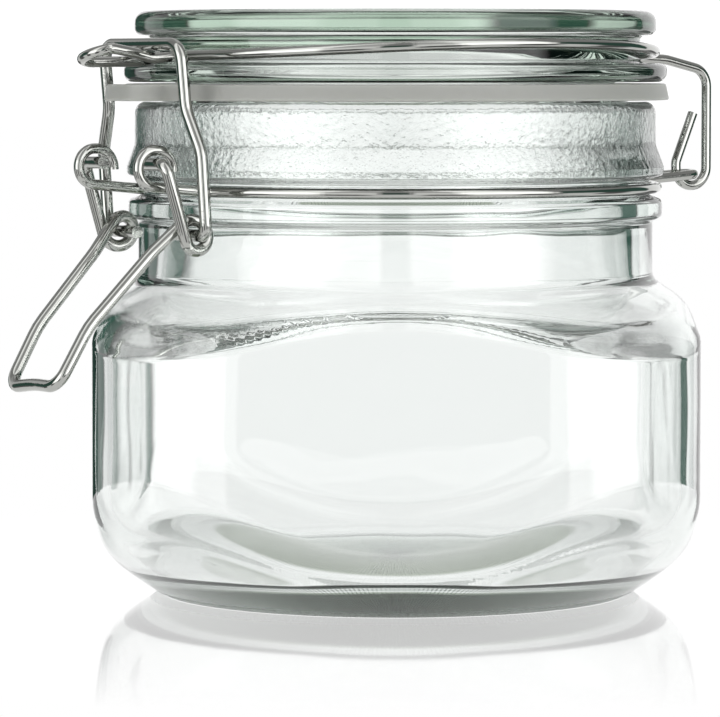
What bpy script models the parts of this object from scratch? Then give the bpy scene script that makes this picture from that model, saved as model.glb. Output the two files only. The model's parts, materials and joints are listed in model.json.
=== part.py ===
"""A square clip-top storage jar: pressed glass, a silicone gasket and a clasp of bent wire.

Everything is in metres with +Z up. The origin is on the jar's axis at the level that the foot stands on,
and the four flat sides face +X, -X, +Y and -Y. The clasp is turned CLASP_TURN round the neck, so its
pieces are drawn in a clasp frame of their own: u points out through the clasp, s sideways, z up.
"""
import math

import bmesh
import bpy
from mathutils import Vector

MM = 0.001
GAP = 0.3  # running clearance between pieces, in mm

# Driving dimensions, all in millimetres from here on
FACETS = 52  # sides of every turned piece, a multiple of four so that it suits a square
BODY_HALF_WIDTH = 51.2
BODY_CORNER = 24.0
WALL = 3.2
FOOT_RADIUS = 40.7
FLOOR_THICKNESS = 6.3
SHOULDER_TOP = 54.7
NECK_RADIUS = 44.7
BEAD_RADIUS = 46.4
LEDGE_RADIUS = 46.6
FINISH_RADIUS = 45.2  # the straight stretch below the rim
MOUTH_RADIUS = 39.5
RIM_HEIGHT = 85.2
HEEL_SPREAD = 1.82  # the heel spreads by this times its height to the power below
HEEL_POWER = 0.874
HEEL_TOP = 24.0
SHOULDER_SLOPE = 1.54
SHOULDER_FULLNESS = 0.45  # how much gentler it falls towards a corner than towards a flat side
SHOULDER_SOFTNESS = 3.5  # how widely the shoulder blends into the sides
FLAT_SOFTNESS = 4.6  # how widely the heel blends into the flat sides
CORNER_SOFTNESS = 7.0  # and into the rounded corners

GASKET_THICKNESS = 2.8
GASKET_RADIUS = 47.5
GASKET_BORE = 38.6
TAB_END = 56.5
TAB_WIDTH = 14.0

LID_SEAT = RIM_HEIGHT + GAP + GASKET_THICKNESS + GAP
LID_PLUG_RADIUS = 38.0
LID_DISC_RADIUS = 47.1
LID_DISC_THICKNESS = 3.2
LID_GROOVE_RADIUS = 42.5
LID_GROOVE_HEIGHT = 4.7
LID_TOP_RADIUS = 45.2
LID_TOP_THICKNESS = 4.3

CLASP_TURN = math.radians(213.5)
HOOP_WIRE = 0.9  # wire radii
LEVER_WIRE = 1.05
NECK_HOOP_RADIUS = 45.4
NECK_HOOP_HEIGHT = 70.4
LID_HOOP_RADIUS = 45.0
LID_HOOP_HEIGHT = 93.1
LID_HOOP_RISE = 2.0  # the hoop bows up by this at the sides
EYE_CENTRE = (54.6, 74.4)
EYE_RADIUS = 3.05
EYE_SIDE = 9.8
HINGE_BAR = (-64.7, 71.8)
HINGE_HALF_WIDTH = 2.4
PIVOT = (54.5, 75.1)  # the lever's pins, through the eyes
COIL_CENTRE = (48.3, 63.3)  # the bail's pins, through the lever's coils
COIL_RADIUS = 2.55
ARM_SIDE = 13.4
LEG_SIDE = 11.0
BAIL_SIDE = 16.0
TONGUE_HALF_WIDTH = 3.6
HANDLE_ROLL = 0.06  # the handle sits a little askew, one leg higher than the other
BEND_STEP = math.radians(20)


def clear_scene():
    for obj in list(bpy.data.objects):
        bpy.data.objects.remove(obj)


def material(name, colour, roughness, metallic=0.0, transmission=0.0):
    made = bpy.data.materials.new(name)
    made.use_nodes = True
    shader = made.node_tree.nodes["Principled BSDF"]
    shader.inputs["Base Color"].default_value = (*colour, 1.0)
    shader.inputs["Roughness"].default_value = roughness
    shader.inputs["Metallic"].default_value = metallic
    shader.inputs["Transmission Weight"].default_value = transmission
    return made


def empty(name, place=(0, 0, 0), turn=0.0, parent=None):
    """A joint's axis, or a frame for the pieces under it. place is in millimetres, in the parent's frame."""
    made = bpy.data.objects.new(name, None)
    made.empty_display_size = 10 * MM
    made.location = Vector(place) * MM
    made.rotation_euler.z = turn
    made.parent = parent
    bpy.context.scene.collection.objects.link(made)
    return made


def shown(name, data, finish, parent):
    made = bpy.data.objects.new(name, data)
    data.materials.append(finish)
    made.parent = parent
    bpy.context.scene.collection.objects.link(made)
    return made


def rounded_square(angle, half_width, corner):
    """Distance from the axis to the side of a rounded square, in the direction of angle."""
    across, along = sorted((abs(math.cos(angle)), abs(math.sin(angle))))
    flat = half_width - corner
    if across / along <= flat / half_width:
        return half_width / along
    # the corner's arc: a circle of radius corner round (flat, flat)
    middle = flat * (across + along)
    return middle + math.sqrt(middle**2 - 2 * flat**2 + corner**2)


def softened(first, second, softness):
    """The smaller of two lengths, with a soft change from one to the other."""
    share = min(max(0.5 + 0.5 * (second - first) / softness, 0.0), 1.0)
    return second + (first - second) * share - softness * share * (1 - share)


def spin_profile(bm, profile):
    """Turns a profile of (radius, height) points once round Z and returns the new vertices."""
    ring = [bm.verts.new((radius * MM, 0, height * MM)) for radius, height in profile]
    line = [bm.edges.new(pair) for pair in zip(ring, ring[1:])]
    before = set(bm.verts) - set(ring)
    bmesh.ops.spin(
        bm, geom=ring + line, cent=(0, 0, 0), axis=(0, 0, 1), angle=math.tau, steps=FACETS, use_merge=True
    )
    return [vert for vert in bm.verts if vert not in before]


def squared(verts, inset):
    """Pushes turned vertices in until they lie within the square body, which leaves foot and neck round."""
    half_width, corner = BODY_HALF_WIDTH - inset, BODY_CORNER - inset
    farthest = rounded_square(math.pi / 4, half_width, corner)
    for vert in verts:
        reach = math.hypot(vert.co.x, vert.co.y) / MM
        if reach < 1:
            continue
        side = rounded_square(math.atan2(vert.co.y, vert.co.x), half_width, corner)
        towards_corner = (side - half_width) / (farthest - half_width)
        softness, wanted = SHOULDER_SOFTNESS, reach
        if vert.co.z < HEEL_TOP * MM:
            softness = FLAT_SOFTNESS + (CORNER_SOFTNESS - FLAT_SOFTNESS) * towards_corner
        elif vert.co.z < SHOULDER_TOP * MM and reach > NECK_RADIUS:
            wanted += (reach - NECK_RADIUS) * SHOULDER_FULLNESS * towards_corner
        if inset:
            softness -= 2.0
        share = softened(wanted, side, softness) / reach
        vert.co.x *= share
        vert.co.y *= share


def closed_mesh(name, bm):
    bmesh.ops.remove_doubles(bm, verts=bm.verts, dist=0.0005 * MM)
    bmesh.ops.recalc_face_normals(bm, faces=bm.faces)
    mesh = bpy.data.meshes.new(name)
    bm.to_mesh(mesh)
    bm.free()
    mesh.shade_smooth()
    mesh.set_sharp_from_angle(angle=math.radians(35))
    return mesh


def body_line(inset):
    """(radius, height) up a diamond that the flat sides cut back to the body. inset is 0 outside and WALL inside.

    The lower side is the heel and the upper one the shoulder, both as cones WALL apart inside and outside.
    """
    floor, foot, neck, top = 0.0, FOOT_RADIUS, NECK_RADIUS, SHOULDER_TOP
    if inset:
        floor, foot, neck, top = FLOOR_THICKNESS, FOOT_RADIUS - 5.2, NECK_RADIUS - 4.0, SHOULDER_TOP - 1.2
    heights = [floor + (HEEL_TOP - floor) * share for share in (0.03, 0.1, 0.2, 0.32, 0.46, 0.63, 0.81, 1.0)]
    heel = [(foot + HEEL_SPREAD * height**HEEL_POWER, height) for height in heights]
    shoulder = [(neck + SHOULDER_SLOPE * drop, top - drop) for drop in (13.0, 11.2, 9.4, 7.7, 6.1, 4.5, 3.0, 1.5)]
    return heel + shoulder + [(neck + 0.7, top)]


def glass_jar(glass):
    """The pressed body: a rounded square that closes to a round foot and a round neck with its finish."""
    bm = bmesh.new()
    underside = [(0, 0), (FOOT_RADIUS - 0.4, 0), (FOOT_RADIUS + 0.2, 0.25)]
    finish = [
        (NECK_RADIUS + 0.15, 56.3),
        (NECK_RADIUS, 58.5),
        (NECK_RADIUS, 64.2),
        (BEAD_RADIUS - 0.2, 65.2),
        (BEAD_RADIUS, 66.6),
        (BEAD_RADIUS - 0.3, 68.1),
        (NECK_HOOP_RADIUS - HOOP_WIRE - GAP, 69.0),
        (NECK_HOOP_RADIUS - HOOP_WIRE - GAP, 71.8),
        (LEDGE_RADIUS - 0.2, 72.5),
        (LEDGE_RADIUS, 73.4),
        (FINISH_RADIUS, 77.6),
        (FINISH_RADIUS, 83.2),
        (FINISH_RADIUS - 0.5, 84.5),
        (FINISH_RADIUS - 2.0, RIM_HEIGHT),
        (MOUTH_RADIUS + 1.2, RIM_HEIGHT),
        (MOUTH_RADIUS, 84.0),
        (MOUTH_RADIUS, 70.0),
    ]
    floor = [(FOOT_RADIUS, FLOOR_THICKNESS), (0, FLOOR_THICKNESS + 0.5)]
    squared(spin_profile(bm, underside + body_line(0) + finish), 0)
    squared(spin_profile(bm, finish[-1:] + body_line(WALL)[::-1] + floor), WALL)
    return shown("glass_jar", closed_mesh("glass_jar", bm), glass, None)


def glass_lid(glass, parent, hinge):
    """Two discs with a groove between them for the wire, hollow below a ring that centres it in the mouth."""
    disc_top = LID_SEAT + LID_DISC_THICKNESS
    groove_top = disc_top + LID_GROOVE_HEIGHT
    top = groove_top + LID_TOP_THICKNESS
    plug = RIM_HEIGHT - 1.0
    bm = bmesh.new()
    spin_profile(bm, [
        (0, top - 6.2),
        (26.0, top - 6.6),
        (31.6, top - 8.6),
        (33.4, top - 11.6),
        (34.4, plug + 0.4),
        (35.2, plug),
        (LID_PLUG_RADIUS - 0.6, plug),
        (LID_PLUG_RADIUS, plug + 0.8),
        (LID_PLUG_RADIUS, LID_SEAT),
        (LID_DISC_RADIUS - 1.2, LID_SEAT),
        (LID_DISC_RADIUS - 0.2, LID_SEAT + 0.7),
        (LID_DISC_RADIUS, LID_SEAT + 1.7),
        (LID_DISC_RADIUS - 0.4, disc_top - 0.5),
        (LID_DISC_RADIUS - 1.2, disc_top),
        (LID_GROOVE_RADIUS + 0.7, disc_top),
        (LID_GROOVE_RADIUS, disc_top + 0.8),
        (LID_GROOVE_RADIUS, groove_top - 0.8),
        (LID_GROOVE_RADIUS + 0.8, groove_top),
        (LID_TOP_RADIUS - 0.6, groove_top + 0.3),
        (LID_TOP_RADIUS, groove_top + 1.3),
        (LID_TOP_RADIUS, top - 2.0),
        (LID_TOP_RADIUS - 0.5, top - 0.7),
        (LID_TOP_RADIUS - 1.8, top),
        (LID_TOP_RADIUS - 5.5, top),
        (LID_TOP_RADIUS - 7.5, top - 1.1),
        (0, top - 1.1),
    ])
    bmesh.ops.translate(bm, verts=bm.verts, vec=(-hinge[0] * MM, 0, -hinge[1] * MM))
    return shown("glass_lid", closed_mesh("glass_lid", bm), glass, parent)


def tab_cutout(name, parent, hinge):
    """A solid in the shape of the gasket's pull tab, long enough to run well into the ring."""
    low = RIM_HEIGHT + GAP + 0.2
    length = TAB_END - (GASKET_RADIUS - 5)
    bm = bmesh.new()
    bmesh.ops.create_cube(bm, size=1.0)
    bmesh.ops.scale(bm, verts=bm.verts, vec=(length * MM, TAB_WIDTH * MM, (GASKET_THICKNESS - 0.4) * MM))
    middle = (TAB_END - length / 2 - hinge[0], 0, low + (GASKET_THICKNESS - 0.4) / 2 - hinge[1])
    bmesh.ops.translate(bm, verts=bm.verts, vec=Vector(middle) * MM)
    far = max(vert.co.x for vert in bm.verts)
    ends = [edge for edge in bm.edges if all(vert.co.x > far - 1e-6 for vert in edge.verts)]
    tips = [edge for edge in ends if abs(edge.verts[0].co.y - edge.verts[1].co.y) < 1e-6]
    bmesh.ops.bevel(bm, geom=tips, offset=5 * MM, segments=4, profile=0.5, affect="EDGES", material=-1)
    made = bpy.data.objects.new(name, closed_mesh(name, bm))
    made.parent = parent
    made.hide_render = True
    made.display_type = "WIRE"
    bpy.context.scene.collection.objects.link(made)
    return made


def gasket(silicone, parent, hinge):
    """A flat silicone ring whose outer edge leans out towards its foot, with a tab to pull it off by."""
    low = RIM_HEIGHT + GAP
    high = low + GASKET_THICKNESS
    bm = bmesh.new()
    ring = [(GASKET_BORE, low), (GASKET_RADIUS - 0.3, low), (GASKET_RADIUS, low + 0.3)]
    ring += [(GASKET_RADIUS - 0.6, high - 0.3), (GASKET_RADIUS - 0.9, high), (GASKET_BORE, high)]
    spin_profile(bm, ring + ring[:1])
    bmesh.ops.translate(bm, verts=bm.verts, vec=(-hinge[0] * MM, 0, -hinge[1] * MM))
    made = shown("gasket", closed_mesh("gasket", bm), silicone, parent)
    join = made.modifiers.new("pull_tab", "BOOLEAN")
    join.operation = "UNION"
    join.solver = "EXACT"
    join.object = tab_cutout("pull_tab_shape", parent, hinge)
    return made


def bend(corners):
    """Points along a wire that runs straight from corner to corner and turns each one at its bend radius.

    corners is [((u, s, z), bend radius), ...]. A radius of 0 keeps the point as it is.
    """
    points = [Vector(corners[0][0])]
    for (before, _), (corner, radius), (after, _) in zip(corners, corners[1:], corners[2:]):
        here = Vector(corner)
        back = (Vector(before) - here).normalized()
        on = (Vector(after) - here).normalized()
        turn = math.pi - back.angle(on)
        if not radius or turn < 0.02:
            points.append(here)
            continue
        reach = radius * math.tan(turn / 2)
        centre = here + (back + on).normalized() * radius / math.cos(turn / 2)
        first, last = here + back * reach - centre, here + on * reach - centre
        steps = math.ceil(turn / BEND_STEP)
        for step in range(steps + 1):
            share = step / steps * turn
            points.append(centre + (first * math.sin(turn - share) + last * math.sin(share)) / math.sin(turn))
    points.append(Vector(corners[-1][0]))
    return points


def straight(points):
    """Points that need no bend radius, as corners."""
    return [(point, 0) for point in points]


def mirrored(corners):
    """The same corners on the other side of the clasp, in the other direction."""
    return [((u, -s, z), radius) for (u, s, z), radius in reversed(corners)]


def hoop(radius, start, end, height):
    """Points round the jar from one angle to the other, in degrees from u towards s. height takes the angle."""
    steps = round(abs(end - start) / (360 / FACETS))
    turns = [math.radians(start + (end - start) * step / steps) for step in range(steps + 1)]
    return [(radius * math.cos(turn), radius * math.sin(turn), height(turn)) for turn in turns]


def bent_wire(name, points, radius, steel, parent, origin):
    """A wire along points in the clasp frame. origin is where the parent stands, as (u, z)."""
    curve = bpy.data.curves.new(name, "CURVE")
    curve.dimensions = "3D"
    curve.bevel_depth = radius * MM
    curve.bevel_resolution = 2
    curve.use_fill_caps = True
    spline = curve.splines.new("POLY")
    spline.points.add(len(points) - 1)
    for point, place in zip(spline.points, points):
        u, s, z = place
        point.co = ((u - origin[0]) * MM, s * MM, (z - origin[1]) * MM, 1)
    return shown(name, curve, steel, parent)


def neck_hoop(steel, parent):
    """One wire in the neck's groove. It ends in two eyes at the clasp and makes a hairpin at the hinge."""
    eye = []
    for step in range(15):
        share = step / 14
        turn = math.radians(188 - 278 * share)  # from the cut end, over the top, to the foot of the eye
        radius = EYE_RADIUS + 0.7 * max(0.0, 1 - 3 * share)
        eye.append((EYE_CENTRE[0] + radius * math.cos(turn), EYE_SIDE, EYE_CENTRE[1] + radius * math.sin(turn)))
    around = hoop(NECK_HOOP_RADIUS, 19, 171, lambda turn: NECK_HOOP_HEIGHT)
    bar, bar_height = HINGE_BAR
    side = straight(eye) + [((44.6, EYE_SIDE, NECK_HOOP_HEIGHT), 3)] + straight(around)
    side += [((-NECK_HOOP_RADIUS, HINGE_HALF_WIDTH, NECK_HOOP_HEIGHT + 0.1), 2.5)]
    side += [((bar, HINGE_HALF_WIDTH, bar_height), HINGE_HALF_WIDTH - 0.01)]
    return bent_wire("neck_hoop", bend(side + mirrored(side)), HOOP_WIRE, steel, parent, (0, 0))


def lid_hoop(steel, parent):
    """One wire in the lid's groove: a hook round the hairpin at the back, a rolled tongue at the clasp."""
    bar, bar_height = HINGE_BAR
    bottom = bar_height - 2 * HOOP_WIRE - GAP
    hook = [((-65.2, 0, 82.8), 0), ((-61.4, 0, 74.0), 2), ((-61.4, 0, bottom), 3.3), ((-68.3, 0, bottom), 3.3)]
    arm = [((-68.3, 0, 90.4), 3.5), ((-59.0, 0, 92.5), 8), ((-45.3, 0, LID_HOOP_HEIGHT + 0.1), 2.8)]

    def height(turn):
        return LID_HOOP_HEIGHT + LID_HOOP_RISE * math.sin(turn) ** 2

    near = hoop(LID_HOOP_RADIUS, 172, 11, height)
    far = hoop(LID_HOOP_RADIUS, -11, -177, height)
    width = TONGUE_HALF_WIDTH
    tongue = [((45.0, width, LID_HOOP_HEIGHT), 2.5), ((51.2, width, 92.65), 6), ((54.4, width, 93.5), 6)]
    tongue += [((59.0, width, 94.3), 6), ((61.9, width, 93.9), width - 0.1), ((61.9, -width, 92.1), width - 0.1)]
    tongue += [((59.0, -width, 92.0), 6), ((49.6, -width, 92.1), 6), ((45.0, -width, LID_HOOP_HEIGHT), 2.5)]
    route = hook + arm + straight(near) + tongue + straight(far)
    return bent_wire("lid_hoop", bend(route), HOOP_WIRE, steel, parent, HINGE_BAR)


def lever(steel, parent):
    """The handle that locks the jar: pins through the eyes, a coil on each side and a loop to pull on."""
    pivot, coil = Vector((*PIVOT, 0)), Vector((*COIL_CENTRE, 0))
    down = coil - pivot
    lean = math.asin(COIL_RADIUS / down.length)
    start = math.atan2(down.y, down.x) + lean + math.pi / 2
    handle = Vector((66.5, 48.1, 0)) - Vector((54.7, 60.5, 0))
    end = math.atan2(handle.y, handle.x) + math.pi / 2 - math.tau
    turns = []
    for step in range(17):
        share = step / 16
        turn = start + (end - start) * share
        side = ARM_SIDE + (LEG_SIDE - ARM_SIDE) * share
        turns.append((coil.x + COIL_RADIUS * math.cos(turn), side, coil.y + COIL_RADIUS * math.sin(turn)))
    pin = [((PIVOT[0], 7.0, PIVOT[1]), 0), ((PIVOT[0], ARM_SIDE, PIVOT[1]), 1.9)]
    side = pin + straight(turns)
    leg = [((54.9, 9.4, 60.2), 12), ((66.5, 8.5, 48.1), 14), ((72.2, 8.2, 38.3), 3)]
    loop = leg + [((71.9, 0, 38.8), 30)] + mirrored(leg)
    drop = PIVOT[1] - 38.3
    rolled = [((u, s, z + HANDLE_ROLL * s * (PIVOT[1] - z) / drop), bent) for (u, s, z), bent in loop]
    return bent_wire("lever", bend(side + rolled + mirrored(side)), LEVER_WIRE, steel, parent, PIVOT)


def bail(steel, parent):
    """The wire that pulls the tongue down: pins through the lever's coils and a bar over the tongue."""
    u, z = COIL_CENTRE
    side = [((u, 6.4, z), 0), ((u, BAIL_SIDE, z), 1.8), ((49.2, BAIL_SIDE, 77.0), 6)]
    side += [((50.1, 12.5, 84.2), 6), ((51.1, 12.5, 95.0), 3)]
    return bent_wire("bail", bend(side + mirrored(side)), LEVER_WIRE, steel, parent, COIL_CENTRE)


def main():
    clear_scene()
    glass = material("soda_lime_glass", (0.86, 0.93, 0.88), 0.02, transmission=1.0)
    silicone = material("translucent_silicone", (0.68, 0.69, 0.67), 0.45)
    steel = material("zinc_plated_steel_wire", (0.78, 0.79, 0.78), 0.22, metallic=1.0)
    clasp = empty("clasp_frame", turn=CLASP_TURN)
    hinge = empty("lid_hinge_axis", (HINGE_BAR[0], 0, HINGE_BAR[1]), parent=clasp)
    pivot = empty("lever_pivot_axis", (PIVOT[0], 0, PIVOT[1]), parent=clasp)
    reach = [coil - pin for coil, pin in zip(COIL_CENTRE, PIVOT)]
    coil = empty("bail_pivot_axis", (reach[0], 0, reach[1]), parent=pivot)
    glass_jar(glass)
    glass_lid(glass, hinge, HINGE_BAR)
    gasket(silicone, hinge, HINGE_BAR)
    neck_hoop(steel, clasp)
    lid_hoop(steel, hinge)
    lever(steel, pivot)
    bail(steel, coil)


main()
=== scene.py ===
# %% [markdown]
# # A square clip-top jar in pressed glass, silicone rubber and bright wire
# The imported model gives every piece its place, size and motion. This script dresses it: the glass, the
# rubber ring and the wires are modelled again with enough fineness for refraction and mirror reflections,
# which plain facets would spoil, and each gets the finish of the real material. A light table and a white
# room stand round them, because clear glass shows nothing of its own, only what is behind and beside it.

# %% Load the frame
import json
import math

import bmesh
import bpy
from mathutils import Matrix, Vector


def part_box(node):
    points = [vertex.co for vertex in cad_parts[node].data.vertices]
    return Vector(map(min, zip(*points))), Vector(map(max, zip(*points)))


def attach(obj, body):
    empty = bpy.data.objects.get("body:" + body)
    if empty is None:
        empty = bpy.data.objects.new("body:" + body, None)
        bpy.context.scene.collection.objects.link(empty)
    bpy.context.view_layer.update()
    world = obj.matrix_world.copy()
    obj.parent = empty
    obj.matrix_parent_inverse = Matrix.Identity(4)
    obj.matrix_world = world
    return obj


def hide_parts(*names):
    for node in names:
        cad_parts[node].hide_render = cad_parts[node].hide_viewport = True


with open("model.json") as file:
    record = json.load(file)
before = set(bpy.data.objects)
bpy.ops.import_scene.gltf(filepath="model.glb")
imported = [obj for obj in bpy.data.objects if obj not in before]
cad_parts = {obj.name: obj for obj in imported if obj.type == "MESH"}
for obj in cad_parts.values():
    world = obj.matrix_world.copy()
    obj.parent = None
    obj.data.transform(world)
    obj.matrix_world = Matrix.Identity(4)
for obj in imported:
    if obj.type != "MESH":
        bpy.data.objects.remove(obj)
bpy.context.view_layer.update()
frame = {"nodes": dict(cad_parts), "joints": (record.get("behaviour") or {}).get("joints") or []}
print("nodes:", ", ".join(frame["nodes"]))

# %% [markdown]
# ## Where things are
# All drawing sizes are in millimetres, as on a maker's drawing, and MM turns them into Blender's metres.
# The clasp stands askew to the square body, so its wires are drawn in a frame of their own: u points out
# through the clasp, s runs along its joint axes and z up. That frame and the three axes are read from the
# joints.

# %% Units and the clasp's own directions
MM = 0.001
joints = {joint["name"]: joint for joint in frame["joints"]}
sideways = -Vector(joints["lever_swing"]["axis"]).normalized()
outwards = sideways.cross(Vector((0, 0, 1)))
clasp = Matrix((outwards, sideways, (0, 0, 1))).transposed()


def axis_place(joint):
    """(u, z) of a joint's axis, in millimetres."""
    place = Vector(joints[joint]["pos_m"]) / MM
    return place.dot(outwards), place.z


HINGE_BAR = axis_place("lid_hinge")
PIVOT = axis_place("lever_swing")
COIL_CENTRE = axis_place("bail_swing")
for piece, (u, z) in {"hinge": HINGE_BAR, "lever's pins": PIVOT, "bail's pins": COIL_CENTRE}.items():
    print(f"{piece} at u {u:.1f}, z {z:.1f} mm")

# %% Sizes of the glass and the rubber, read from the frame where a box gives them
BODY_HALF_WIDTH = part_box("glass_jar")[1].x / MM
RIM_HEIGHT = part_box("glass_jar")[1].z / MM
LID_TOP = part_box("glass_lid")[1].z / MM
LID_DISC_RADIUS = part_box("glass_lid")[1].x / MM
GASKET_LOW, GASKET_HIGH = (corner.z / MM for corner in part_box("gasket"))
GASKET_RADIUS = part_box("gasket")[1].x / MM
FOOT_RADIUS = 40.7
BODY_CORNER = 24.0  # the radius of the body's upright corners
WALL = 3.2
FLOOR_THICKNESS = 6.3
SHOULDER_TOP = 54.7
NECK_RADIUS = 44.7
MOUTH_RADIUS = 39.5
print(f"body {2 * BODY_HALF_WIDTH:.1f} square, rim at {RIM_HEIGHT:.1f}, lid to {LID_TOP:.1f} mm")

# %% [markdown]
# ## Colours and nodes
# A colour is written as the sRGB hex value that a paint card would give, and one function turns it into the
# linear numbers that the renderer adds up. One more function adds a node: its own settings, then its
# inputs, each either a plain value or the output of another node.

# %% Small helpers for materials


def linear(colour):
    """The linear RGBA of an sRGB hex value such as #c0ffee."""
    shares = [int(colour[place : place + 2], 16) / 255 for place in (1, 3, 5)]
    curve = [share / 12.92 if share <= 0.04045 else ((share + 0.055) / 1.055) ** 2.4 for share in shares]
    return (*curve, 1.0)


def add(tree, kind, inputs=None, **settings):
    """Adds a node of that kind, with its settings, and fills its inputs with values or links."""
    made = tree.nodes.new(kind)
    for name, value in settings.items():
        setattr(made, name, value)
    for name, value in (inputs or {}).items():
        if isinstance(value, bpy.types.NodeSocket):
            tree.links.new(value, made.inputs[name])
        else:
            made.inputs[name].default_value = value
    return made


def new_finish(name):
    """An empty material and its node tree."""
    finish = bpy.data.materials.new(name)
    finish.use_nodes = True
    finish.node_tree.nodes.clear()
    return finish, finish.node_tree


print("glass green of #c9dfd4 is", [round(x, 3) for x in linear("#c9dfd4")])

# %% [markdown]
# ## The camera
# The jar is seen through a long lens, which keeps its sides nearly parallel. The lens is given as its focal
# length on a 36 mm sensor. The camera stands level with the lid and tips down a little.

# %% Camera
CAMERA_PLACE = Vector((-6.1, -780.0, 91.5)) * MM
CAMERA_TIP = math.radians(3.744)
camera = bpy.data.objects.new("camera", bpy.data.cameras.new("camera"))
camera.data.sensor_width = 36
camera.data.lens = 224.2
camera.location = CAMERA_PLACE
camera.rotation_euler = (math.pi / 2 - CAMERA_TIP, 0, 0)
bpy.context.scene.collection.objects.link(camera)
bpy.context.scene.camera = camera
print("camera", round(CAMERA_PLACE.length / MM), "mm from the foot")

# %% [markdown]
# ## The light table
# Clear glass shows best in bright field: it stands on a sheet of opal acrylic lit from below, in front of a
# white wall, and what is dark beside the wall draws the edges. Round the foot the sheet is polished and
# mirrors the jar, and the polish fades away with distance. Under the recess in the foot the sheet lies in
# the jar's own shade. Its glow is an emission shader, so it needs no lamp. A Fresnel node mixes the mirror
# in, as on real acrylic.

# %% Opal acrylic
SHEET_RADIUS = 151.0
POLISH_FULL, POLISH_GONE = 80.0, 150.0  # distances from the jar's axis
POLISH_SHARE = 0.95
ACRYLIC_IOR = 1.49
SHADE_COLOUR = "#8f9a85"
SHADE_RADIUS = 34.2

opal, tree = new_finish("opal_acrylic_sheet")
place = add(tree, "ShaderNodeTexCoord").outputs["Object"]
distance = add(tree, "ShaderNodeVectorMath", {0: place}, operation="LENGTH").outputs["Value"]
fading = add(tree, "ShaderNodeMapRange", {
    "Value": distance, "From Min": POLISH_FULL * MM, "From Max": POLISH_GONE * MM,
    "To Min": POLISH_SHARE, "To Max": 0.0,
})
beside = add(tree, "ShaderNodeMath", {0: distance, 1: FOOT_RADIUS * MM}, operation="GREATER_THAN")
polish = add(tree, "ShaderNodeMath", {0: fading.outputs[0], 1: beside.outputs[0]}, operation="MULTIPLY")
grazing = add(tree, "ShaderNodeFresnel", {"IOR": ACRYLIC_IOR})
share = add(tree, "ShaderNodeMath", {
    0: grazing.outputs[0], 1: polish.outputs[0],
}, operation="MULTIPLY", use_clamp=True)
lit = add(tree, "ShaderNodeMapRange", {
    "Value": distance, "From Min": (SHADE_RADIUS - 1) * MM, "From Max": (SHADE_RADIUS + 1) * MM,
})
shade = add(tree, "ShaderNodeMix", {
    "Factor": lit.outputs[0], "A": linear(SHADE_COLOUR), "B": linear("#ffffff"),
}, data_type="RGBA")
glow = add(tree, "ShaderNodeEmission", {"Color": shade.outputs["Result"], "Strength": 1.0})
mirror = add(tree, "ShaderNodeBsdfAnisotropic", {"Color": linear("#ffffff"), "Roughness": 0.05})
surface = add(tree, "ShaderNodeMixShader", {0: share.outputs[0], 1: glow.outputs[0], 2: mirror.outputs[0]})
add(tree, "ShaderNodeOutputMaterial", {"Surface": surface.outputs[0]})
print("made", opal.name, "polished out to", POLISH_GONE, "mm")

# %% [markdown]
# ## The pale floor
# The sheet is a small disc, and a pale floor carries on from its edge to fill the view. The camera alone
# sees that floor: past the disc, glass and wire show the room and its dark cards instead. In a studio,
# cards that stand just out of frame give the same.

# %% Disc and floor
FLOOR_REACH = 6000.0
SHEET_HEIGHT, FLOOR_HEIGHT = -0.05, -0.5  # just below the foot, so that no two surfaces lie in one plane


def stage_piece(name, bm, height, finish):
    """A flat piece of the studio at that height."""
    piece = bpy.data.objects.new(name, bpy.data.meshes.new(name))
    bm.to_mesh(piece.data)
    bm.free()
    piece.location.z = height * MM
    piece.data.materials.append(finish)
    bpy.context.scene.collection.objects.link(piece)
    return piece


bm = bmesh.new()
bmesh.ops.create_circle(bm, cap_ends=True, segments=180, radius=SHEET_RADIUS * MM)
stage_piece("light_table", bm, SHEET_HEIGHT, opal)
paint, tree = new_finish("white_floor_paint")
glow = add(tree, "ShaderNodeEmission", {"Color": linear("#ffffff"), "Strength": 1.0})
add(tree, "ShaderNodeOutputMaterial", {"Surface": glow.outputs[0]})
bm = bmesh.new()
bmesh.ops.create_grid(bm, x_segments=1, y_segments=1, size=FLOOR_REACH * MM)
floor = stage_piece("floor", bm, FLOOR_HEIGHT, paint)
floor.visible_diffuse = False
floor.visible_glossy = False
floor.visible_transmission = False
floor.visible_shadow = False
print("light table of", 2 * SHEET_RADIUS, "mm and a floor round it")

# %% [markdown]
# ## The white room
# The room is painted on the world by direction, which costs no render time and leaves nothing standing in
# another view. Going round from the camera there is a dark gap, where the camera stands, then on each side
# a white wall, a soft box and dark green cards, and behind the jar a white wall again. The outlines of
# glass and wire reflect those cards. Overhead the room is dimmer, and above the cards a haze keeps it from
# going black.

# %% Walls, boxes and cards
ROOM_STRENGTH = 3.0  # the soft boxes' brightness, with the wall behind the jar at 1
CARD_GREEN = "#23352f"
# degrees round from the camera, to the left when negative, and a share of the soft boxes' brightness
ROUND = [
    (-180, 0.36), (-168, 0.36), (-165, 0), (-146, 0), (-142, 0.3), (-125, 0.25), (-122, 0), (-78, 0),
    (-70, 0.8), (-38, 1.0), (-30, 0.4), (-8, 0.4), (-6, 0), (6, 0), (8, 0.4), (24, 0.4),
    (32, 1.0), (68, 0.8), (76, 0), (139, 0), (141, 0.36), (180, 0.36),
]
# the sine of the height above the horizon, and a share of that again
UP = [(-1.0, 1.0), (0.3, 1.0), (0.5, 0.6), (1.0, 0.6)]
CARDS_TOP = 0.32  # the sine of their height
HAZE_RISE = 0.14
HAZE_SHARE = 0.12


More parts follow.
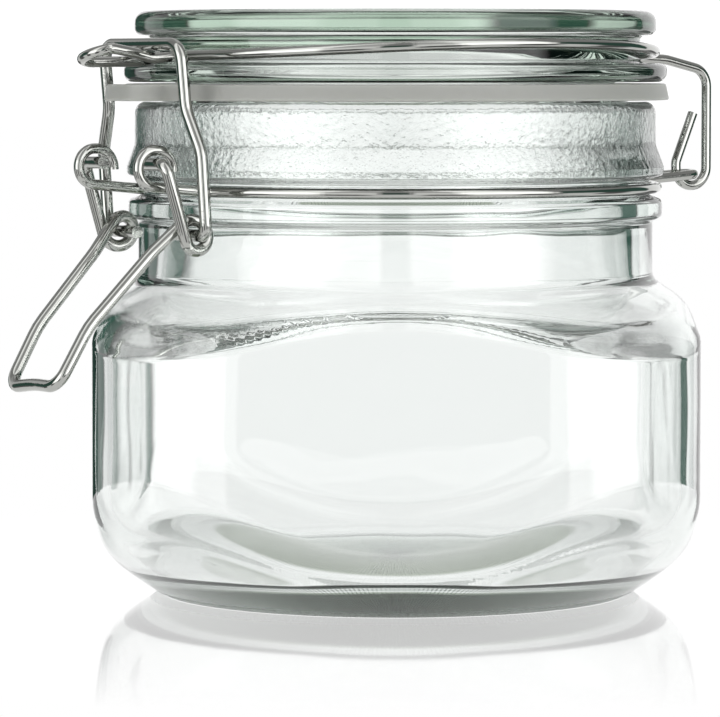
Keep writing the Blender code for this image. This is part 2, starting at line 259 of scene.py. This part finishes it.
def ramp_stops(ramp, stops):
    """Sets a colour ramp's stops, as (position from 0 to 1, grey value)."""
    while len(ramp.elements) > 1:
        ramp.elements.remove(ramp.elements[-1])
    for place, value in stops:
        stop = ramp.elements[0] if place == stops[0][0] else ramp.elements.new(place)
        stop.position = place
        stop.color = (value, value, value, 1)


world = bpy.data.worlds.new("white_room")
world.use_nodes = True
bpy.context.scene.world = world
tree = world.node_tree
tree.nodes.clear()
look = add(tree, "ShaderNodeSeparateXYZ", {0: add(tree, "ShaderNodeTexCoord").outputs["Generated"]})
towards = add(tree, "ShaderNodeMath", {0: look.outputs["Y"], 1: -1.0}, operation="MULTIPLY")
turn = add(tree, "ShaderNodeMath", {0: look.outputs["X"], 1: towards.outputs[0]}, operation="ARCTAN2")
around = add(tree, "ShaderNodeMapRange", {
    "Value": turn.outputs[0], "From Min": -math.pi, "From Max": math.pi,
})
walls = add(tree, "ShaderNodeValToRGB", {0: around.outputs[0]})
ramp_stops(walls.color_ramp, [((degrees + 180) / 360, value) for degrees, value in ROUND])
upward = add(tree, "ShaderNodeMapRange", {"Value": look.outputs["Z"], "From Min": -1.0, "From Max": 1.0})
ceiling = add(tree, "ShaderNodeValToRGB", {0: upward.outputs[0]})
ramp_stops(ceiling.color_ramp, [((sine + 1) / 2, value) for sine, value in UP])
room = add(tree, "ShaderNodeVectorMath", {0: walls.outputs[0], 1: ceiling.outputs[0]}, operation="MULTIPLY")
green = linear(CARD_GREEN)[:3]
cards = add(tree, "ShaderNodeVectorMath", {0: room.outputs[0], 1: green}, operation="MAXIMUM")
haze = add(tree, "ShaderNodeMapRange", {
    "Value": look.outputs["Z"], "From Min": CARDS_TOP, "From Max": CARDS_TOP + HAZE_RISE,
    "To Max": HAZE_SHARE,
})
upper = add(tree, "ShaderNodeVectorMath", {0: cards.outputs[0], 1: haze.outputs[0]}, operation="MAXIMUM")
print("room has", len(ROUND), "stops round and", len(UP), "upwards")

# %% [markdown]
# ## The room's floor
# A view from higher up looks through the glass at the floor of the room, below the cards. Plain white would
# lose the jar there, and a dark side would fill it. So the floor has light and dark spokes in turn, and
# whichever way one looks through the jar along a side or a corner, there is light behind it and dark beside
# that for an outline.

# %% Spokes
CARDS_FOOT = -0.16  # the sine of the height where the cards end
SPOKES = 8
SPOKE_DARK, SPOKE_LIGHT = 0.05, 0.32  # shares of the soft boxes' brightness
SPOKE_EDGES = (-0.5, 0.3)  # of a cosine, so that the light spokes are a little wider than the dark ones

wave = add(tree, "ShaderNodeMath", {0: turn.outputs[0], 1: float(SPOKES)}, operation="MULTIPLY")
wave = add(tree, "ShaderNodeMath", {0: wave.outputs[0]}, operation="COSINE")
spokes = add(tree, "ShaderNodeMapRange", {
    "Value": wave.outputs[0], "From Min": SPOKE_EDGES[0], "From Max": SPOKE_EDGES[1],
    "To Min": SPOKE_DARK, "To Max": SPOKE_LIGHT,
})
low = add(tree, "ShaderNodeMapRange", {
    "Value": look.outputs["Z"], "From Min": CARDS_FOOT, "From Max": CARDS_FOOT - 0.02,
})
whole = add(tree, "ShaderNodeMix", {
    "Factor": low.outputs[0], "A": upper.outputs[0], "B": spokes.outputs[0],
}, data_type="RGBA")
light = add(tree, "ShaderNodeBackground", {"Color": whole.outputs["Result"], "Strength": ROOM_STRENGTH})
add(tree, "ShaderNodeOutputWorld", {"Surface": light.outputs[0]})
bpy.context.scene.view_settings.view_transform = "Standard"
print("floor of the room has", SPOKES, "light and", SPOKES, "dark spokes")

# %% [markdown]
# ## The glass
# Jars like this are pressed from soda-lime glass. It is clear across a wall of three millimetres, and iron
# in the sand turns it green where light runs a long way inside it, in rims, corners and the floor. A
# surface colour would tint every wall alike, so the green is an absorption through the volume. The mould
# leaves slow waves in the surface, some 20 mm long, and a grain where its metal was only blasted, on the
# finish under the lid. Round the foot it has fine knurls, so that the hot glass doesn't slip, and the ring
# that the jar stands on is scuffed.

# %% Pressed glass
WAVE_LENGTH, WAVE_HEIGHT = 22.0, 0.26
GRAIN_LENGTH, GRAIN_HEIGHT = 1.1, 0.12
KNURLS, KNURL_HEIGHT = 330, 0.03  # round the foot, 0.8 mm apart
KNURLS_FULL, KNURLS_GONE = 0.9, 1.3  # heights above the foot
SCUFFED = 0.3  # roughness
GLASS_IOR = 1.52
JAR_TINT, JAR_DENSITY = "#c9dfd4", 24.0  # absorption per metre
LID_TINT, LID_DENSITY = "#c8ddcd", 20.0
GRAINY = (73.0, 84.0)  # heights of the blasted finish


def pressed_glass(name, tint, density, grainy=None):
    """Soda-lime glass with the mould's waves. grainy is where its grain starts and ends, as heights."""
    finish, tree = new_finish(name)
    place = add(tree, "ShaderNodeTexCoord").outputs["Object"]
    waves = add(tree, "ShaderNodeTexNoise", {
        "Vector": place, "Scale": 1 / (WAVE_LENGTH * MM), "Detail": 1.0,
    })
    relief = add(tree, "ShaderNodeBump", {
        "Height": waves.outputs[0], "Distance": WAVE_HEIGHT * MM, "Strength": 1.0,
    })
    scuffed = 0.0
    if grainy:
        split = add(tree, "ShaderNodeSeparateXYZ", {0: place})
        low = add(tree, "ShaderNodeMapRange", {
            "Value": split.outputs["Z"], "From Min": (grainy[0] - 1) * MM, "From Max": grainy[0] * MM,
        })
        high = add(tree, "ShaderNodeMapRange", {
            "Value": split.outputs["Z"], "From Min": (grainy[1] + 1) * MM, "From Max": grainy[1] * MM,
        })
        band = add(tree, "ShaderNodeMath", {0: low.outputs[0], 1: high.outputs[0]}, operation="MULTIPLY")
        grain = add(tree, "ShaderNodeTexNoise", {
            "Vector": place, "Scale": 1 / (GRAIN_LENGTH * MM), "Detail": 3.0,
        })
        height = add(tree, "ShaderNodeMath", {
            0: grain.outputs[0], 1: band.outputs[0],
        }, operation="MULTIPLY")
        relief = add(tree, "ShaderNodeBump", {
            "Height": height.outputs[0], "Distance": GRAIN_HEIGHT * MM, "Strength": 1.0,
            "Normal": relief.outputs[0],
        })
        turn = add(tree, "ShaderNodeMath", {
            0: split.outputs["Y"], 1: split.outputs["X"],
        }, operation="ARCTAN2")
        notch = add(tree, "ShaderNodeMath", {0: turn.outputs[0], 1: float(KNURLS)}, operation="MULTIPLY")
        notch = add(tree, "ShaderNodeMath", {0: notch.outputs[0]}, operation="SINE")
        foot = add(tree, "ShaderNodeMapRange", {
            "Value": split.outputs["Z"], "From Min": KNURLS_GONE * MM, "From Max": KNURLS_FULL * MM,
        })
        height = add(tree, "ShaderNodeMath", {
            0: notch.outputs[0], 1: foot.outputs[0],
        }, operation="MULTIPLY")
        relief = add(tree, "ShaderNodeBump", {
            "Height": height.outputs[0], "Distance": KNURL_HEIGHT * MM, "Strength": 1.0,
            "Normal": relief.outputs[0],
        })
        scuffed = add(tree, "ShaderNodeMapRange", {"Value": foot.outputs[0], "To Max": SCUFFED}).outputs[0]
    shader = add(tree, "ShaderNodeBsdfPrincipled", {
        "Base Color": linear("#ffffff"), "Roughness": scuffed, "IOR": GLASS_IOR, "Transmission Weight": 1.0,
        "Normal": relief.outputs[0],
    })
    green = add(tree, "ShaderNodeVolumeAbsorption", {"Color": linear(tint), "Density": density})
    add(tree, "ShaderNodeOutputMaterial", {"Surface": shader.outputs[0], "Volume": green.outputs[0]})
    return finish


jar_glass = pressed_glass("pressed_soda_lime_glass", JAR_TINT, JAR_DENSITY, grainy=GRAINY)
lid_glass = pressed_glass("pressed_soda_lime_lid_glass", LID_TINT, LID_DENSITY)
print("made", jar_glass.name, "and", lid_glass.name)

# %% [markdown]
# ## The rubber
# The ring under the lid is moulded in undyed silicone rubber: milky, soft to the eye, with light from
# behind spreading through its edge. Subsurface scattering over about two millimetres gives that.

# %% Silicone
SILICONE_COLOUR = "#a4a5a1"
SILICONE_IOR = 1.41
BLOOM_LENGTH, BLOOM_HEIGHT = 3.0, 0.02
SCATTER = 2.0

silicone, tree = new_finish("undyed_silicone_rubber")
place = add(tree, "ShaderNodeTexCoord").outputs["Object"]
bloom = add(tree, "ShaderNodeTexNoise", {
    "Vector": place, "Scale": 1 / (BLOOM_LENGTH * MM), "Detail": 4.0,
})
relief = add(tree, "ShaderNodeBump", {
    "Height": bloom.outputs[0], "Distance": BLOOM_HEIGHT * MM, "Strength": 1.0,
})
shader = add(tree, "ShaderNodeBsdfPrincipled", {
    "Base Color": linear(SILICONE_COLOUR), "Roughness": 0.45, "IOR": SILICONE_IOR,
    "Subsurface Weight": 1.0, "Subsurface Radius": (1.0, 1.0, 0.9), "Subsurface Scale": SCATTER * MM,
    "Normal": relief.outputs[0],
})
add(tree, "ShaderNodeOutputMaterial", {"Surface": shader.outputs[0]})
print("made", silicone.name)

# %% [markdown]
# ## The wire
# The clasp is bent from drawn steel wire with a bright zinc plating. Zinc is a little darker and softer
# than chrome: it mirrors the room, but drawing leaves faint lines and the plating a fine mottle that breaks
# the mirror up.

# %% Zinc plating
ZINC_COLOUR = "#b0b1ad"
ZINC_BRIGHT, ZINC_DULL = 0.03, 0.12  # roughness
MOTTLE_LENGTH, MOTTLE_HEIGHT = 1.6, 0.02

zinc, tree = new_finish("bright_zinc_plated_steel_wire")
place = add(tree, "ShaderNodeTexCoord").outputs["Object"]
mottle = add(tree, "ShaderNodeTexNoise", {
    "Vector": place, "Scale": 1 / (MOTTLE_LENGTH * MM), "Detail": 5.0,
})
gloss = add(tree, "ShaderNodeMapRange", {
    "Value": mottle.outputs[0], "From Min": 0.3, "From Max": 0.7,
    "To Min": ZINC_BRIGHT, "To Max": ZINC_DULL,
})
relief = add(tree, "ShaderNodeBump", {
    "Height": mottle.outputs[0], "Distance": MOTTLE_HEIGHT * MM, "Strength": 1.0,
})
shader = add(tree, "ShaderNodeBsdfPrincipled", {
    "Base Color": linear(ZINC_COLOUR), "Metallic": 1.0, "Roughness": gloss.outputs[0],
    "Normal": relief.outputs[0],
})
add(tree, "ShaderNodeOutputMaterial", {"Surface": shader.outputs[0]})
print("made", zinc.name)

# %% [markdown]
# ## Lines that bend
# Both a turned profile and a bent wire are straight runs joined by arcs, as a bending jig or a mould
# maker's cutter leaves them. So both start from a short list of corners, each with its bend radius, and one
# function rounds them.

# %% Rounding corners


def bend(corners, step=math.radians(8)):
    """Points along a line from corner to corner, each turned at its bend radius.

    corners is [((x, y, z), radius), ...]. A radius of 0 keeps the point.
    """
    points = [Vector(corners[0][0])]
    for (before, _), (corner, radius), (after, _) in zip(corners, corners[1:], corners[2:]):
        here = Vector(corner)
        back = (Vector(before) - here).normalized()
        on = (Vector(after) - here).normalized()
        turn = math.pi - back.angle(on)
        if not radius or turn < 0.02:
            points.append(here)
            continue
        reach = radius * math.tan(turn / 2)
        centre = here + (back + on).normalized() * radius / math.cos(turn / 2)
        first, last = here + back * reach - centre, here + on * reach - centre
        steps = max(2, math.ceil(turn / step))
        for count in range(steps + 1):
            share = count / steps * turn
            spoke = (first * math.sin(turn - share) + last * math.sin(share)) / math.sin(turn)
            points.append(centre + spoke)
    points.append(Vector(corners[-1][0]))
    return points


def straight(points):
    """Points that need no bend radius, as corners."""
    return [(point, 0) for point in points]


right_angle = [((0, 0, 0), 0), ((9, 0, 0), 3), ((9, 0, 9), 0)]
print("a right angle bent at 3 mm takes", len(bend(right_angle)), "points")

# %% [markdown]
# ## Turned shapes
# The lid, the ring and the jar's neck are round, and even the square body starts round: its mould closes on
# a round foot and a round neck. So each is one profile of (radius, height) spun about Z. The body's flat
# sides come after.

# %% Spinning a profile
SIDES = 256
SHARP = math.radians(50)
SAME_PLACE = 0.0005  # points closer than this are one


def turned(corners, sides=SIDES):
    """A bmesh with a profile turned once round Z. corners is [(radius, height, bend radius), ...]."""
    points = bend([((radius, 0, height), round_off) for radius, height, round_off in corners])
    bm = bmesh.new()
    ring = [bm.verts.new(point * MM) for point in points]
    line = [bm.edges.new(pair) for pair in zip(ring, ring[1:])]
    bmesh.ops.spin(
        bm, geom=ring + line, cent=(0, 0, 0), axis=(0, 0, 1), angle=math.tau, steps=sides, use_merge=True
    )
    bmesh.ops.remove_doubles(bm, verts=bm.verts, dist=SAME_PLACE * MM)
    return bm


def finished(name, bm, finish, slot, body, *nodes):
    """Makes the piece from its bmesh, gives it its finish and puts it in place of the CAD nodes."""
    bmesh.ops.recalc_face_normals(bm, faces=bm.faces)
    mesh = bpy.data.meshes.new(name)
    bm.to_mesh(mesh)
    bm.free()
    mesh.shade_smooth()
    mesh.set_sharp_from_angle(angle=SHARP)
    mesh.materials.append(finish)
    piece = bpy.data.objects.new(name, mesh)
    bpy.context.scene.collection.objects.link(piece)
    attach(piece, body)
    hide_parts(*nodes)
    print(f"{name}: {len(mesh.vertices)} vertices, rides on {body}")
    return piece


# %% [markdown]
# ## The square body
# Pushing a round shape in until it fits a rounded square makes flat sides, and leaves what is narrower
# round. A hard limit would leave a crease where heel and shoulder meet the sides, so the smaller of the two
# lengths is taken with a soft change between them, a few millimetres wide, as the mould has. The shoulder
# is fuller towards the corners, where it has farther to go. The inner corners are tighter than the outer
# ones, so that the wall keeps one thickness: light then passes almost straight, and the walls look clear.

# %% Squaring
HEEL_TOP = 24.0
HEEL_SOFTNESS = (4.6, 7.0)  # where it meets a flat side and where it meets a corner
SHOULDER_SOFTNESS = (3.5, 6.5)
INNER_SOFTNESS = -2.0  # added on the inside of the wall
SHOULDER_FULLNESS = 0.45  # how much gentler it falls towards a corner than towards a flat side


def rounded_square(angle, half_width, corner):
    """Distance from the axis to the side of a rounded square, in the direction of angle."""
    across, along = sorted((abs(math.cos(angle)), abs(math.sin(angle))))
    flat = half_width - corner
    if across / along <= flat / half_width:
        return half_width / along
    middle = flat * (across + along)
    return middle + math.sqrt(middle**2 - 2 * flat**2 + corner**2)


def softened(first, second, softness):
    """The smaller of two lengths, with a soft change from one to the other."""
    share = min(max(0.5 + 0.5 * (second - first) / softness, 0.0), 1.0)
    return second + (first - second) * share - softness * share * (1 - share)


def squared(verts, inset):
    """Pushes turned vertices in until they fit the square body. inset is 0 outside and WALL inside."""
    half_width, corner = BODY_HALF_WIDTH - inset, BODY_CORNER - inset
    farthest = rounded_square(math.pi / 4, half_width, corner)
    for vert in verts:
        reach = math.hypot(vert.co.x, vert.co.y) / MM
        if reach < 1:
            continue
        side = rounded_square(math.atan2(vert.co.y, vert.co.x), half_width, corner)
        towards_corner = (side - half_width) / (farthest - half_width)
        in_heel = vert.co.z < HEEL_TOP * MM
        flat_softness, corner_softness = HEEL_SOFTNESS if in_heel else SHOULDER_SOFTNESS
        softness = flat_softness + (corner_softness - flat_softness) * towards_corner
        if inset:
            softness += INNER_SOFTNESS
        wanted = reach
        if not in_heel and vert.co.z < SHOULDER_TOP * MM and reach > NECK_RADIUS:
            wanted += (reach - NECK_RADIUS) * SHOULDER_FULLNESS * towards_corner
        share = softened(wanted, side, softness) / reach
        vert.co.x *= share
        vert.co.y *= share


corner_reach = rounded_square(math.pi / 4, BODY_HALF_WIDTH, BODY_CORNER)
print("a body corner reaches", round(corner_reach, 1), "mm from the axis")

# %% [markdown]
# ## The line up the body
# What is pushed in is a diamond in profile: it widens all the way up the heel, past the flat sides, and
# narrows again up the shoulder. The inside has a diamond of its own, set back so that the walls stay
# parallel.

# %% Heel and shoulder
HEEL_SPREAD = 1.82
HEEL_POWER = 0.874
HEEL_START = 0.03  # where the heel leaves the foot, as a share of its height
SHOULDER_SLOPE = 1.54
SHOULDER_DROP = 13.0  # down to below where even the corners cut it
INNER_FOOT_RADIUS = FOOT_RADIUS - 5.2
INNER_NECK_RADIUS = NECK_RADIUS - 4.0
INNER_SHOULDER_TOP = SHOULDER_TOP - 1.2
RINGS = 36  # in the heel, and again in the shoulder


def body_line(inset):
    """(radius, height, 0) up the diamond. inset is 0 outside and WALL inside."""
    floor, foot = 0.0, FOOT_RADIUS
    neck, top = NECK_RADIUS, SHOULDER_TOP
    if inset:
        floor, foot = FLOOR_THICKNESS, INNER_FOOT_RADIUS
        neck, top = INNER_NECK_RADIUS, INNER_SHOULDER_TOP
    shares = [HEEL_START + (1 - HEEL_START) * step / RINGS for step in range(RINGS + 1)]
    heights = [floor + (HEEL_TOP - floor) * share for share in shares]
    heel = [(foot + HEEL_SPREAD * height**HEEL_POWER, height, 0) for height in heights]
    drops = [SHOULDER_DROP * step / RINGS for step in range(RINGS, 3, -1)]
    return heel + [(neck + SHOULDER_SLOPE * drop, top - drop, 0) for drop in drops]


print("the diamond is", round(2 * body_line(0)[RINGS][0]), "mm wide before the sides cut it")

# %% [markdown]
# ## The jar
# One closed skin, outside and inside, because glass only bends light rightly where a ray goes in and comes
# out. From the axis the profile runs out under the foot, up the heel, side and shoulder to the neck with
# its bead, the groove that holds the wire and the ledge, over the rim and down the inside to the floor.

# %% Glass jar
BEAD_RADIUS = 46.4
LEDGE_RADIUS = 46.6
FINISH_RADIUS = 45.2
GROOVE_RADIUS = 44.2
MOUTH_FOOT = 70.0  # height
RECESS = 0.9  # depth, under the foot
FLOOR_RISE = 0.4  # towards the middle

underside = [
    (0, RECESS, 0),
    (SHADE_RADIUS, RECESS, 3),
    (SHADE_RADIUS + 3.2, 0, 1.2),
    (FOOT_RADIUS - 0.1, 0, 0.4),
]
finish_profile = [
    (NECK_RADIUS, SHOULDER_TOP, 2.4),
    (NECK_RADIUS, 64.6, 0.6),
    (BEAD_RADIUS, 65.3, 1.2),
    (BEAD_RADIUS - 0.1, 68.4, 1.0),
    (GROOVE_RADIUS, 69.1, 0.5),
    (GROOVE_RADIUS, 71.9, 0.6),
    (LEDGE_RADIUS, 72.6, 0.6),
    (LEDGE_RADIUS, 74.0, 1.0),
    (FINISH_RADIUS, 77.9, 3.0),
    (FINISH_RADIUS, RIM_HEIGHT, 1.9),
    (MOUTH_RADIUS, RIM_HEIGHT, 1.1),
    (MOUTH_RADIUS, MOUTH_FOOT, 0),
]
inside = [(MOUTH_RADIUS, MOUTH_FOOT, 0), (INNER_NECK_RADIUS, INNER_SHOULDER_TOP, 3)]
inside += body_line(WALL)[::-1]
floor_line = [
    (FOOT_RADIUS, FLOOR_THICKNESS, 0),
    (FOOT_RADIUS - 1, FLOOR_THICKNESS, 0),
    (0, FLOOR_THICKNESS + FLOOR_RISE, 0),
]
bm = turned(underside + body_line(0) + finish_profile)
squared(bm.verts, 0)
within = turned(inside + floor_line)
squared(within.verts, WALL)
half = bpy.data.meshes.new("inside")
within.to_mesh(half)
within.free()
bm.from_mesh(half)
bpy.data.meshes.remove(half)
bmesh.ops.remove_doubles(bm, verts=bm.verts, dist=2 * SAME_PLACE * MM)
finished("jar", bm, jar_glass, "glass", "jar", "glass_jar")

# %% [markdown]
# ## The lid
# Two discs of glass with a groove between them for the wire. It is hollow underneath, with a ring that
# centres it in the mouth. Every edge is fire polished, so every corner of the profile has a radius.

# %% Glass lid
LID_SEAT = GASKET_HIGH + 0.3
LID_PLUG_RADIUS = 38.0
DISC_TOP = LID_SEAT + 3.2
GROOVE_TOP = DISC_TOP + 4.7
LID_GROOVE_RADIUS = 42.5
LID_TOP_RADIUS = 45.2
PLUG_FOOT = RIM_HEIGHT - 1.0

lid_corners = [
    (0, LID_TOP - 6.2, 0),
    (27.0, LID_TOP - 6.4, 8),
    (33.0, LID_TOP - 10.0, 3),
    (34.8, PLUG_FOOT, 0.8),
    (LID_PLUG_RADIUS, PLUG_FOOT, 1.0),
    (LID_PLUG_RADIUS, LID_SEAT, 0.4),
    (LID_DISC_RADIUS, LID_SEAT, 1.5),
    (LID_DISC_RADIUS, DISC_TOP, 1.2),
    (LID_GROOVE_RADIUS, DISC_TOP, 0.8),
    (LID_GROOVE_RADIUS, GROOVE_TOP, 0.8),
    (LID_TOP_RADIUS, GROOVE_TOP + 0.2, 1.2),
    (LID_TOP_RADIUS, LID_TOP, 1.9),
    (LID_TOP_RADIUS - 6.5, LID_TOP, 1.2),
    (LID_TOP_RADIUS - 7.5, LID_TOP - 1.1, 1.2),
    (0, LID_TOP - 1.1, 0),
]
finished("lid", turned(lid_corners), lid_glass, "lid_glass", "lid", "glass_lid")

# %% [markdown]
# ## The rubber ring
# A flat ring whose outer edge leans out towards its foot, with a tab to pull it off by. The tab is no
# separate piece: the rim's vertices within its width are drawn out along u until they reach its end.

# %% Gasket
GASKET_BORE = 38.6
TAB_END = 56.5
TAB_HALF_WIDTH = 7.0
TAB_CORNER = 5.0
TAB_ROOT = GASKET_RADIUS - 1.5  # only the rim beyond this is drawn out

bm = turned([
    (GASKET_BORE, GASKET_LOW, 0),
    (GASKET_RADIUS, GASKET_LOW, 0.3),
    (GASKET_RADIUS - 0.6, GASKET_HIGH, 0.4),
    (GASKET_BORE, GASKET_HIGH, 0.3),
    (GASKET_BORE, GASKET_LOW, 0),
], sides=4 * SIDES)
for vert in bm.verts:
    u, s = vert.co.dot(outwards) / MM, vert.co.dot(sideways) / MM
    if u < 0 or abs(s) > TAB_HALF_WIDTH or math.hypot(u, s) < TAB_ROOT:
        continue
    over = max(0.0, abs(s) - (TAB_HALF_WIDTH - TAB_CORNER))
    end = TAB_END - TAB_CORNER + math.sqrt(max(TAB_CORNER**2 - over**2, 0.0))
    vert.co += outwards * (end - (GASKET_RADIUS - math.hypot(u, s)) - u) * MM
finished("rubber_ring", bm, silicone, "silicone", "lid", "gasket")

# %% [markdown]
# ## Bent wires
# Each wire is a curve through its bent route, with a round bevel, made into a mesh so that the sheared ends
# can have their edges broken a little, as a tumbling barrel leaves them.

# %% Wire maker
HOOP_WIRE = 0.9  # wire radii
LEVER_WIRE = 1.05
WIRE_ROUNDNESS = 6  # gives 16 sides
BROKEN_EDGE = 0.15
HOOP_STEP = 1.5  # degrees


def wire(name, points, radius, body):
    """A wire along points in the clasp's frame, in place of the CAD node of the same purpose."""
    curve = bpy.data.curves.new(name, "CURVE")
    curve.dimensions = "3D"
    curve.bevel_depth = radius * MM
    curve.bevel_resolution = WIRE_ROUNDNESS
    curve.use_fill_caps = True
    spline = curve.splines.new("POLY")
    spline.points.add(len(points) - 1)
    for knot, point in zip(spline.points, points):
        knot.co = (*(clasp @ Vector(point) * MM), 1)
    rough = bpy.data.objects.new(name, curve)
    bpy.context.scene.collection.objects.link(rough)
    bpy.context.view_layer.update()
    swept = rough.evaluated_get(bpy.context.evaluated_depsgraph_get())
    drawn = bpy.data.meshes.new_from_object(swept)
    bm = bmesh.new()
    bm.from_mesh(drawn)
    bpy.data.objects.remove(rough)
    bpy.data.meshes.remove(drawn)
    bmesh.ops.remove_doubles(bm, verts=bm.verts, dist=SAME_PLACE * MM)
    rims = {edge for face in bm.faces if len(face.verts) > 4 for edge in face.edges}
    bmesh.ops.bevel(
        bm, geom=list(rims), offset=BROKEN_EDGE * MM, segments=2, profile=0.5, affect="EDGES", material=-1
    )
    return finished(f"{name}_wire", bm, zinc, "wire", body, name)


def mirrored(corners):
    """The same corners on the other side of the clasp, in the other direction."""
    return [((u, -s, z), radius) for (u, s, z), radius in reversed(corners)]


def hoop(radius, start, end, height):
    """Points round the jar between two angles, in degrees from u towards s. height takes the angle."""
    steps = round(abs(end - start) / HOOP_STEP)
    turns = [math.radians(start + (end - start) * step / steps) for step in range(steps + 1)]
    return [(radius * math.cos(turn), radius * math.sin(turn), height(turn)) for turn in turns]


print("wires of", 2 * HOOP_WIRE, "and", 2 * LEVER_WIRE, "mm")

# %% [markdown]
# ## The neck's wire
# One length lies in the neck's groove. At the clasp each end is curled into an eye that holds the lever's
# pin, and at the back the wire makes a hairpin that the lid's wire hooks round.

# %% Neck hoop
NECK_HOOP_RADIUS = 45.4
NECK_HOOP_HEIGHT = 70.4
EYE_CENTRE = (54.6, 74.4)
EYE_RADIUS = 3.05
EYE_SIDE = 9.8
EYE_START, EYE_SWEEP = 188, 278  # degrees
EYE_FLARE = 0.7  # at the sheared end
EYE_STEPS = 42
HINGE_HALF_WIDTH = 2.4

eye = []
for step in range(EYE_STEPS + 1):
    share = step / EYE_STEPS
    turn = math.radians(EYE_START - EYE_SWEEP * share)
    radius = EYE_RADIUS + EYE_FLARE * max(0.0, 1 - 3 * share)
    u, z = EYE_CENTRE[0] + radius * math.cos(turn), EYE_CENTRE[1] + radius * math.sin(turn)
    eye.append((u, EYE_SIDE, z))
bar, bar_height = HINGE_BAR
side = straight(eye) + [((44.6, EYE_SIDE, NECK_HOOP_HEIGHT), 3)]
side += straight(hoop(NECK_HOOP_RADIUS, 19, 171, lambda turn: NECK_HOOP_HEIGHT))
side += [((-NECK_HOOP_RADIUS, HINGE_HALF_WIDTH, NECK_HOOP_HEIGHT + 0.1), 2.5)]
side += [((bar, HINGE_HALF_WIDTH, bar_height), HINGE_HALF_WIDTH - 0.01)]
wire("neck_hoop", bend(side + mirrored(side)), HOOP_WIRE, "jar")

# %% [markdown]
# ## The lid's wire
# One length again: a hook round the hairpin, an arm up to the lid's groove, once round the groove, bowed up
# a little at the sides, and between its two halves a rolled tongue for the bail to press on.

# %% Lid hoop
LID_HOOP_RADIUS = 45.0
LID_HOOP_HEIGHT = 93.1
LID_HOOP_RISE = 2.0
HOOK_OUT = -68.3
TONGUE_HALF_WIDTH = 3.6


def lid_hoop_height(turn):
    """The wire's height at that angle round the lid, in radians."""
    return LID_HOOP_HEIGHT + LID_HOOP_RISE * math.sin(turn) ** 2


bottom = bar_height - 2 * HOOP_WIRE - 0.3
hook = [((-65.2, 0, 82.8), 0), ((-61.4, 0, 74.0), 2)]
hook += [((-61.4, 0, bottom), 3.3), ((HOOK_OUT, 0, bottom), 3.3)]
arm = [((HOOK_OUT, 0, 90.4), 3.5), ((-59.0, 0, 92.5), 8), ((-45.3, 0, LID_HOOP_HEIGHT + 0.1), 2.8)]
width = TONGUE_HALF_WIDTH
tongue = [
    ((LID_HOOP_RADIUS, width, LID_HOOP_HEIGHT), 2.5),
    ((51.2, width, 92.65), 6),
    ((54.4, width, 93.5), 6),
    ((59.0, width, 94.3), 6),
    ((61.9, width, 93.9), width - 0.1),
    ((61.9, -width, 92.1), width - 0.1),
    ((59.0, -width, 92.0), 6),
    ((49.6, -width, 92.1), 6),
    ((LID_HOOP_RADIUS, -width, LID_HOOP_HEIGHT), 2.5),
]
near = hoop(LID_HOOP_RADIUS, 172, 11, lid_hoop_height)
far = hoop(LID_HOOP_RADIUS, -11, -177, lid_hoop_height)
wire("lid_hoop", bend(hook + arm + straight(near) + tongue + straight(far)), HOOP_WIRE, "lid")

# %% [markdown]
# ## The lever
# The handle that locks the jar. Its pins point inwards through the eyes, each arm drops to a coil that
# holds the bail, and the legs run down to a loop that is a little askew, as hand-fitted clasps are.

# %% Lever
COIL_RADIUS = 2.55
ARM_SIDE = 13.4
LEG_SIDE = 11.0
HANDLE_END = 38.3
HANDLE_ROLL = 0.06
COIL_STEPS = 48

pivot, coil = Vector((*PIVOT, 0)), Vector((*COIL_CENTRE, 0))
down = coil - pivot
handle = Vector((66.5, 48.1, 0)) - Vector((54.7, 60.5, 0))  # the way the wire leaves the coil
start = math.atan2(down.y, down.x) + math.asin(COIL_RADIUS / down.length) + math.pi / 2
end = math.atan2(handle.y, handle.x) + math.pi / 2 - math.tau
turns = []
for step in range(COIL_STEPS + 1):
    turn = start + (end - start) * step / COIL_STEPS
    across = ARM_SIDE + (LEG_SIDE - ARM_SIDE) * step / COIL_STEPS
    u, z = coil.x + COIL_RADIUS * math.cos(turn), coil.y + COIL_RADIUS * math.sin(turn)
    turns.append((u, across, z))
side = [((pivot.x, 7.0, pivot.y), 0), ((pivot.x, ARM_SIDE, pivot.y), 1.9)] + straight(turns)
leg = [((54.9, 9.4, 60.2), 12), ((66.5, 8.5, 48.1), 14), ((72.2, 8.2, HANDLE_END), 3)]
loop = leg + [((71.9, 0, 38.8), 30)] + mirrored(leg)
drop = pivot.y - HANDLE_END
rolled = [((u, s, z + HANDLE_ROLL * s * (pivot.y - z) / drop), radius) for (u, s, z), radius in loop]
wire("lever", bend(side + rolled + mirrored(side)), LEVER_WIRE, "lever")

# %% [markdown]
# ## The bail
# The wire that pulls the tongue down when the lever swings home: a pin through each coil and a bar over the
# tongue.

# %% Bail
BAIL_SIDE = 16.0

side = [((coil.x, 6.4, coil.y), 0), ((coil.x, BAIL_SIDE, coil.y), 1.8), ((49.2, BAIL_SIDE, 77.0), 6)]
side += [((50.1, 12.5, 84.2), 6), ((51.1, 12.5, 95.0), 3)]
wire("bail", bend(side + mirrored(side)), LEVER_WIRE, "bail")
